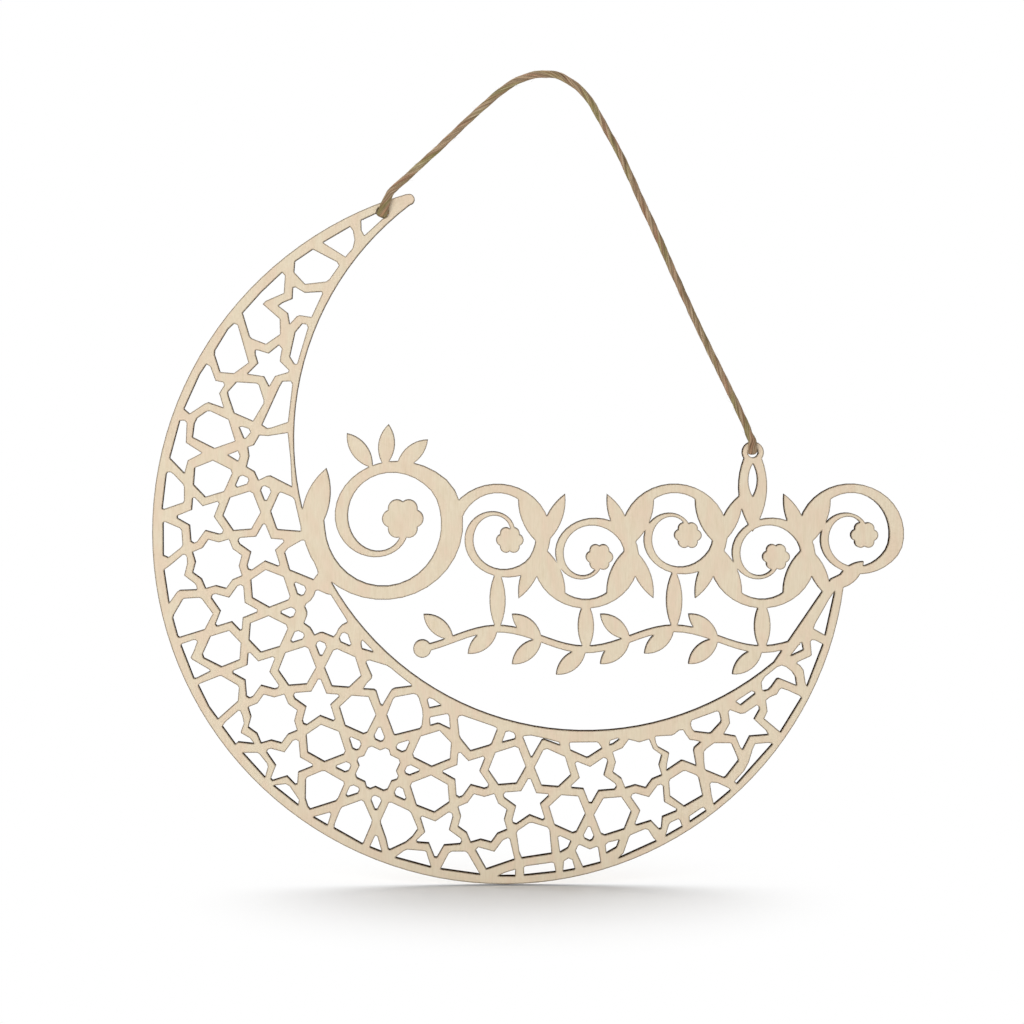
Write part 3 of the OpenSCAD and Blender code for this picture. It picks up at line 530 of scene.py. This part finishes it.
def basswood_veneer(look):
    """Unfinished rotary-cut basswood veneer, cut by laser.

    Basswood gives a pale, even, matte face with short fine fibres up the sheet and faint warm bands. The
    laser leaves a thin brown line on the face along each cut and a burnt wall with streaks through the
    thickness, too rough to shine.
    """
    material = bpy.data.materials.new("laser_cut_basswood_veneer")
    tree = empty_tree(material)
    place = add(tree, "ShaderNodeTexCoord")
    across = 1 / look.fibre_width
    grain = add(
        tree,
        "ShaderNodeMapping",
        {"Vector": place.outputs["Object"], "Scale": (across, across, 1 / look.fibre_length)},
    )
    fibres = add(
        tree, "ShaderNodeTexNoise", {"Vector": grain.outputs[0], "Scale": 1, "Detail": 3, "Roughness": 0.6}
    )
    fibre_share = add(tree, "ShaderNodeMapRange", {0: fibres.outputs[0], 1: 0.36, 2: 0.7, 3: 0, 4: 0.5})

    fleck_width = 1.4 * MM
    fleck_length = 9 * MM
    fleck_scale = (1 / fleck_width, 1 / fleck_width, 1 / fleck_length)
    fleck_place = add(tree, "ShaderNodeMapping", {"Vector": place.outputs["Object"], "Scale": fleck_scale})
    flecks = add(tree, "ShaderNodeTexNoise", {"Vector": fleck_place.outputs[0], "Scale": 1, "Detail": 2})
    fleck_share = add(tree, "ShaderNodeMapRange", {0: flecks.outputs[0], 1: 0.55, 2: 0.75, 3: 0, 4: 0.5})

    band_length = 2.5 * look.band_width
    band_scale = (1 / look.band_width, 1 / look.band_width, 1 / band_length)
    band_place = add(tree, "ShaderNodeMapping", {"Vector": place.outputs["Object"], "Scale": band_scale})
    bands = add(
        tree,
        "ShaderNodeTexNoise",
        {"Vector": band_place.outputs[0], "Scale": 1, "Detail": 2, "Distortion": 0.4},
    )
    band_share = add(tree, "ShaderNodeMapRange", {0: bands.outputs[0], 1: 0.4, 2: 0.65, 3: 0, 4: 0.8})

    # A rounded corner's normal leans away from the face only near a cut.
    corner = add(tree, "ShaderNodeBevel", {"Radius": look.scorch_width}, samples=6)
    shape = add(tree, "ShaderNodeNewGeometry")
    lean = add(
        tree,
        "ShaderNodeVectorMath",
        {0: corner.outputs[0], 1: shape.outputs["True Normal"]},
        operation="DOT_PRODUCT",
    )
    edge = add(tree, "ShaderNodeMapRange", {0: lean.outputs["Value"], 1: 0.99, 2: 0.92, 3: 0, 4: 1})

    face = (*look.veneer, 1)
    layers = (
        (band_share, look.band),
        (fibre_share, look.fibre),
        (fleck_share, look.fibre),
        (edge, look.scorch),
    )
    for share, tint in layers:
        layer = add(tree, "ShaderNodeMix", {0: share.outputs[0], 6: face, 7: (*tint, 1)}, data_type="RGBA")
        face = layer.outputs[2]
    wall, burnt = burnt_wall(tree, place, look)
    colour = add(tree, "ShaderNodeMix", {0: wall, 6: face, 7: burnt}, data_type="RGBA")
    rough = add(tree, "ShaderNodeMapRange", {0: fibres.outputs[0], 1: 0.3, 2: 0.7, 3: 0.58, 4: 0.72})
    gloss = add(tree, "ShaderNodeMapRange", {0: wall, 1: 0, 2: 1, 3: 0.08, 4: 0})
    relief = add(
        tree, "ShaderNodeBump", {"Height": fibres.outputs[0], "Strength": 0.25, "Distance": 0.04 * MM}
    )
    shader = add(
        tree,
        "ShaderNodeBsdfPrincipled",
        {
            "Base Color": colour.outputs[2],
            "Roughness": rough.outputs[0],
            "Normal": relief.outputs[0],
            "Specular IOR Level": gloss.outputs[0],
        },
    )
    add(tree, "ShaderNodeOutputMaterial", {"Surface": shader.outputs[0]})
    return material


def burnt_wall(tree, place, look):
    """Where a cut's wall is, and its colour: a wall faces along the sheet, and its streaks run through it."""
    facing = add(tree, "ShaderNodeSeparateXYZ", {0: place.outputs["Normal"]})
    flat = add(tree, "ShaderNodeMath", {0: facing.outputs["Y"]}, operation="ABSOLUTE")
    wall = add(tree, "ShaderNodeMapRange", {0: flat.outputs[0], 1: 0.75, 2: 0.6, 3: 0, 4: 1})
    streak_width = 0.4 * MM
    streak_length = 6 * MM
    streak_scale = (1 / streak_width, 1 / streak_length, 1 / streak_width)
    streak_place = add(tree, "ShaderNodeMapping", {"Vector": place.outputs["Object"], "Scale": streak_scale})
    streaks = add(tree, "ShaderNodeTexNoise", {"Vector": streak_place.outputs[0], "Scale": 1, "Detail": 2})
    share = add(tree, "ShaderNodeMapRange", {0: streaks.outputs[0], 1: 0.45, 2: 0.7, 3: 0, 4: 1})
    burnt = add(
        tree,
        "ShaderNodeMix",
        {0: share.outputs[0], 6: (*look.char, 1), 7: (*look.char_pale, 1)},
        data_type="RGBA",
    )
    return wall.outputs[0], burnt.outputs[2]


def charred_core(look):
    """Middle ply of basswood, cut by laser.

    Only its burnt edge shows: matte black-brown, with streaks through the thickness and soot along it.
    """
    material = bpy.data.materials.new("charred_basswood_core")
    tree = empty_tree(material)
    place = add(tree, "ShaderNodeTexCoord")
    wall, burnt = burnt_wall(tree, place, look)
    colour = add(tree, "ShaderNodeMix", {0: wall, 6: (*look.fibre, 1), 7: burnt}, data_type="RGBA")
    soot_width = 2.2 * MM
    soot_height = 0.5 * MM
    soot_scale = (1 / soot_width, 1 / soot_height, 1 / soot_width)
    soot_place = add(tree, "ShaderNodeMapping", {"Vector": place.outputs["Object"], "Scale": soot_scale})
    soot = add(tree, "ShaderNodeTexNoise", {"Vector": soot_place.outputs[0], "Scale": 1, "Detail": 3})
    rough = add(tree, "ShaderNodeMapRange", {0: soot.outputs[0], 1: 0.3, 2: 0.7, 3: 0.7, 4: 0.9})
    relief = add(tree, "ShaderNodeBump", {"Height": soot.outputs[0], "Strength": 0.3, "Distance": 0.05 * MM})
    shader = add(
        tree,
        "ShaderNodeBsdfPrincipled",
        {
            "Base Color": colour.outputs[2],
            "Roughness": rough.outputs[0],
            "Normal": relief.outputs[0],
            "Specular IOR Level": 0,
        },
    )
    add(tree, "ShaderNodeOutputMaterial", {"Surface": shader.outputs[0]})
    return material


def jute(look):
    """Jute spun in three strands and twisted, undyed.

    Jute fibres are coarse and long, so they show as streaks along the strands, from straw to brown, with
    stretches that are redder or more olive, painted shade in the grooves between the strands, and a dry fuzzy
    sheen.
    """
    known = bpy.data.materials.get("twisted_jute")
    if known:
        return known
    material = bpy.data.materials.new("twisted_jute")
    tree = empty_tree(material)
    place = add(tree, "ShaderNodeAttribute", attribute_name="fibre")
    # Painted shade in the grooves between the strands.
    groove_shade = add(tree, "ShaderNodeAttribute", attribute_name="groove_shade")
    groove_shade_share = add(tree, "ShaderNodeMapRange", {0: groove_shade.outputs["Fac"], 1: 0.35, 2: 1, 3: 0, 4: 0.5})

    fibre_length = 7 * MM
    fibre_width = 0.3 * MM
    fibre_scale = (1 / fibre_length, 1 / fibre_width, 1 / fibre_width)
    fibre_place = add(tree, "ShaderNodeMapping", {"Vector": place.outputs["Vector"], "Scale": fibre_scale})
    fibres = add(
        tree,
        "ShaderNodeTexNoise",
        {"Vector": fibre_place.outputs[0], "Scale": 1, "Detail": 4, "Roughness": 0.6},
    )
    dark_share = add(tree, "ShaderNodeMapRange", {0: fibres.outputs[0], 1: 0.53, 2: 0.32, 3: 0, 4: 0.9})
    pale_share = add(tree, "ShaderNodeMapRange", {0: fibres.outputs[0], 1: 0.5, 2: 0.72, 3: 0, 4: 0.9})

    red_length = 12 * MM
    red_width = 0.9 * MM
    red_scale = (1 / red_length, 1 / red_width, 1 / red_width)
    red_place = add(tree, "ShaderNodeMapping", {"Vector": place.outputs["Vector"], "Scale": red_scale})
    reds = add(tree, "ShaderNodeTexNoise", {"Vector": red_place.outputs[0], "Scale": 1, "Detail": 2})
    red_share = add(tree, "ShaderNodeMapRange", {0: reds.outputs[0], 1: 0.48, 2: 0.66, 3: 0, 4: 0.75})

    # Shifted, so that the olive stretches don't follow the red ones.
    olive_length = 16 * MM
    olive_width = 2.5 * MM
    olive_scale = (1 / olive_length, 1 / olive_width, 1 / olive_width)
    olive_place = add(
        tree,
        "ShaderNodeMapping",
        {"Vector": place.outputs["Vector"], "Location": (7, 3, 5), "Scale": olive_scale},
    )
    olives = add(tree, "ShaderNodeTexNoise", {"Vector": olive_place.outputs[0], "Scale": 1, "Detail": 1})
    olive_share = add(tree, "ShaderNodeMapRange", {0: olives.outputs[0], 1: 0.5, 2: 0.68, 3: 0, 4: 0.8})

    colour = (*look.tan, 1)
    layers = (
        (red_share, look.red),
        (olive_share, look.olive),
        (dark_share, look.brown),
        (pale_share, look.pale),
        # The last layer is painted shade in the grooves, in the darkest jute brown.
        (groove_shade_share, look.brown),
    )
    for share, tint in layers:
        layer = add(tree, "ShaderNodeMix", {0: share.outputs[0], 6: colour, 7: (*tint, 1)}, data_type="RGBA")
        colour = layer.outputs[2]
    relief = add(
        tree, "ShaderNodeBump", {"Height": fibres.outputs[0], "Strength": 0.6, "Distance": 0.15 * MM}
    )
    rough = add(tree, "ShaderNodeMapRange", {0: fibres.outputs[0], 1: 0.3, 2: 0.7, 3: 0.9, 4: 0.74})
    shader = add(
        tree,
        "ShaderNodeBsdfPrincipled",
        {
            "Base Color": colour,
            "Roughness": rough.outputs[0],
            "Normal": relief.outputs[0],
            "Specular IOR Level": 0.25,
            "Sheen Weight": 0.03,
        },
    )
    add(tree, "ShaderNodeOutputMaterial", {"Surface": shader.outputs[0]})
    return material


def white_rays(tree):
    """One where a ray comes from the camera, a reflection or a clear body, and nought for all others."""
    path = add(tree, "ShaderNodeLightPath")
    seen = add(tree, "ShaderNodeMath", {0: path.outputs["Is Camera Ray"], 1: path.outputs["Is Glossy Ray"]})
    white = add(
        tree, "ShaderNodeMath", {0: seen.outputs[0], 1: path.outputs["Is Transmission Ray"]}, use_clamp=True
    )
    return white.outputs[0]


def paper_floor(look):
    """Matte white paper, rolled smooth.

    Close under the ornament it keeps the shadow, and further off it turns plain white.
    """
    material = bpy.data.materials.new("matte_white_paper")
    tree = empty_tree(material)
    place = add(tree, "ShaderNodeTexCoord")
    spot = add(
        tree,
        "ShaderNodeMapping",
        {"Vector": place.outputs["Object"], "Location": PATCH_SHIFT, "Scale": PATCH_STRETCH},
    )
    away = add(tree, "ShaderNodeVectorMath", {0: spot.outputs[0]}, operation="LENGTH")
    far = add(
        tree,
        "ShaderNodeMapRange",
        {0: away.outputs["Value"], 1: PATCH_INNER, 2: PATCH_OUTER, 3: 0, 4: 1},
        interpolation_type="SMOOTHSTEP",
    )
    share = add(tree, "ShaderNodeMath", {0: far.outputs[0], 1: white_rays(tree)}, operation="MULTIPLY")
    paper = add(tree, "ShaderNodeBsdfDiffuse", {"Color": (*look.floor, 1)})
    white = add(tree, "ShaderNodeEmission", {"Color": (1, 1, 1, 1), "Strength": 1})
    both = add(tree, "ShaderNodeMixShader", {0: share.outputs[0], 1: paper.outputs[0], 2: white.outputs[0]})
    add(tree, "ShaderNodeOutputMaterial", {"Surface": both.outputs[0]})
    return material


def turned_to(spot, aim):
    """The turn that points a camera or lamp at a spot to an aim, with its top upwards."""
    return (Vector(aim) - Vector(spot)).to_track_quat("-Z", "Y").to_euler()


def softbox(name, spot, aim, size, power):
    """A square area lamp at a spot, turned to an aim."""
    data = bpy.data.lights.new(name, "AREA")
    data.shape = "SQUARE"
    data.size = size
    data.energy = power
    lamp = bpy.data.objects.new(name, data)
    lamp.location = spot
    lamp.rotation_euler = turned_to(spot, aim)
    bpy.context.scene.collection.objects.link(lamp)


class CRESCENT_OT_stage(bpy.types.Operator):
    """Sets the camera, the floor, the lamps and the white surroundings"""

    bl_idname = "crescent.stage"
    bl_label = "Stage"

    def execute(self, context):
        scene = context.scene
        look = scene.crescent_stage
        scene.view_settings.view_transform = "Standard"
        lens = bpy.data.cameras.new("camera")
        lens.sensor_width = SENSOR_WIDTH
        lens.lens = lens.sensor_width * look.distance / look.view_width
        lens.clip_start = 10 * MM
        camera = bpy.data.objects.new("camera", lens)
        camera.location = (look.camera_foot[0], FRONT_Y * MM - look.distance, look.camera_foot[1])
        middle = Vector((look.view_middle[0], FRONT_Y * MM, look.view_middle[1]))
        camera.rotation_euler = turned_to(camera.location, middle)
        scene.collection.objects.link(camera)
        scene.camera = camera

        square = np.array([[-1, -1, 0], [1, -1, 0], [1, 1, 0], [-1, 1, 0]])
        corners = FLOOR_HALF * square + [0, 0, look.floor_z]
        mesh = bpy.data.meshes.new("floor")
        mesh.from_pydata(corners.tolist(), [], [[0, 1, 2, 3]])
        mesh.materials.append(paper_floor(look))
        floor = bpy.data.objects.new("floor", mesh)
        scene.collection.objects.link(floor)

        above = (middle.x, OVERHEAD_BACK, OVERHEAD_RISE)
        below = (middle.x, 0, look.floor_z)
        softbox("overhead_lamp", above, below, OVERHEAD_WIDTH, look.overhead)
        softbox("front_lamp", FRONT_SPOT, middle, FRONT_WIDTH, look.front)

        world = bpy.data.worlds.new("white_surroundings")
        tree = empty_tree(world)
        light = add(tree, "ShaderNodeBackground", {"Color": (1, 1, 1, 1), "Strength": look.ambient})
        white = add(tree, "ShaderNodeBackground", {"Color": (1, 1, 1, 1), "Strength": 1})
        seen = white_rays(tree)
        both = add(tree, "ShaderNodeMixShader", {0: seen, 1: light.outputs[0], 2: white.outputs[0]})
        add(tree, "ShaderNodeOutputWorld", {"Surface": both.outputs[0]})
        scene.world = world
        return {"FINISHED"}


class CRESCENT_OT_knots(bpy.types.Operator):
    """Ties a stopper knot with a frayed tail behind each eye"""

    bl_idname = "crescent.knots"
    bl_label = "Stopper knots"

    def execute(self, context):
        look = context.scene.crescent_twine
        material = jute(look)
        for name, end in (("left", LEFT_END), ("right", RIGHT_END)):
            thick = KNOT_RADIUS * look.diameter * end["knot_scale"]
            path = smooth_route(*knot_route(end, look.diameter / 2), KNOT_STEP)
            twine = twisted_twine(path, thick, KNOT_LAY * look.lay, KNOT_SIDES, (0, 0))
            knot = twine_piece(f"{name}_stopper_knot", twine, material)
            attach(knot, "plaque")
            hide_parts(f"{name}_knot")

            pick = np.random.default_rng(end["seed"])
            turn = pick.random(FRAY_COUNT) * 2 * math.pi
            reach = FRAY_FILL * np.sqrt(pick.random(FRAY_COUNT))
            line, tangent, across, up = (part[-1] for part in path)
            out = np.cos(turn)[:, None] * across + np.sin(turn)[:, None] * up
            roots = line - FRAY_SUNK * tangent + (thick * reach)[:, None] * out
            ahead = np.tile(tangent, (FRAY_COUNT, 1))
            length = pick.uniform(*FRAY_LENGTHS, FRAY_COUNT) * MM
            lift = reach * pick.uniform(*FRAY_LIFTS, FRAY_COUNT) * MM
            along = pick.random(FRAY_COUNT) * FRAY_STRETCH
            coordinates = np.column_stack([along, FRAY_SPREAD * roots[:, 0], FRAY_SPREAD * roots[:, 2]])
            fray = loose_fibres(
                f"{name}_frayed_tail", roots, ahead, out, length, lift, FRAY_RADIUS, coordinates, material
            )
            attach(fray, "plaque")
        return {"FINISHED"}


class CRESCENT_OT_twine(bpy.types.Operator):
    """Makes the twisted jute twine from eye to eye, with its loose fibres"""

    bl_idname = "crescent.twine"
    bl_label = "Jute twine"

    def execute(self, context):
        look = context.scene.crescent_twine
        material = jute(look)
        radius = look.diameter / 2
        path = smooth_route(*twine_route(radius), TWINE_STEP)
        twine = twisted_twine(path, radius, look.lay, TWINE_SIDES, (LEFT_END["press"], RIGHT_END["press"]))
        piece = twine_piece("jute_twine", twine, material)

        count = look.fibres
        pick = np.random.default_rng(HAIR_SEED)
        rings, sides = twine["groove_shade"].shape
        ring = pick.integers(BARE_RINGS, rings - BARE_RINGS, count)
        side = pick.integers(0, sides, count)
        out = twine["out"][ring, side]
        tangent = twine["tangent"][ring] * pick.choice([-1, 1], count)[:, None]
        lean = pick.uniform(-HAIR_LEAN, HAIR_LEAN, count)[:, None]
        ahead = np.cos(lean) * tangent + np.sin(lean) * np.cross(tangent, out)
        roots = twine["points"][ring, side] - HAIR_SUNK * out
        length = pick.uniform(*HAIR_LENGTHS, count) * MM
        lift = pick.uniform(*HAIR_LIFTS, count) * MM
        coordinates = twine["fibre"][ring, side]
        hairs = loose_fibres(
            "twine_loose_fibres", roots, ahead, out, length, lift, HAIR_RADIUS, coordinates, material
        )

        for soft in (piece, hairs):
            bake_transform(soft)
        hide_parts("hanging_cord", "left_cord_end", "right_cord_end")
        return {"FINISHED"}


class CRESCENT_OT_plies(bpy.types.Operator):
    """Gives the veneers and the core of the sheet their finishes"""

    bl_idname = "crescent.plies"
    bl_label = "Plywood sheet"

    def execute(self, context):
        look = context.scene.crescent_sheet
        veneer = basswood_veneer(look)
        finishes = {"front_veneer": veneer, "core_ply": charred_core(look), "back_veneer": veneer}
        for name, finish in finishes.items():
            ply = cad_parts[name]
            ply.data.materials.clear()
            ply.data.materials.append(finish)
        return {"FINISHED"}


class CRESCENT_PT_panel(bpy.types.Panel):
    """Lists the pieces of the ornament"""

    bl_idname = "CRESCENT_PT_panel"
    bl_label = "Hanging crescent"
    bl_space_type = "VIEW_3D"
    bl_region_type = "UI"
    bl_category = "Crescent"

    def draw(self, context):
        for operator in OPERATORS:
            self.layout.operator(operator.bl_idname)


OPERATORS = (CRESCENT_OT_stage, CRESCENT_OT_knots, CRESCENT_OT_twine, CRESCENT_OT_plies)
LOOKS = {
    "crescent_sheet": CrescentSheetLook,
    "crescent_twine": CrescentTwineLook,
    "crescent_stage": CrescentStageLook,
}


def register():
    """Registers the looks, the operators and the panel."""
    for kind in (*LOOKS.values(), *OPERATORS, CRESCENT_PT_panel):
        bpy.utils.register_class(kind)
    for name, kind in LOOKS.items():
        setattr(bpy.types.Scene, name, bpy.props.PointerProperty(type=kind))


def unregister():
    """Takes away what register added."""
    for name in LOOKS:
        delattr(bpy.types.Scene, name)
    for kind in (CRESCENT_PT_panel, *OPERATORS[::-1], *LOOKS.values()):
        bpy.utils.unregister_class(kind)


def main():
    """Builds the stage and the pieces in order."""
    register()
    bpy.ops.crescent.stage()
    bpy.ops.crescent.knots()
    bpy.ops.crescent.twine()
    bpy.ops.crescent.plies()


if __name__ == "__main__":
    main()
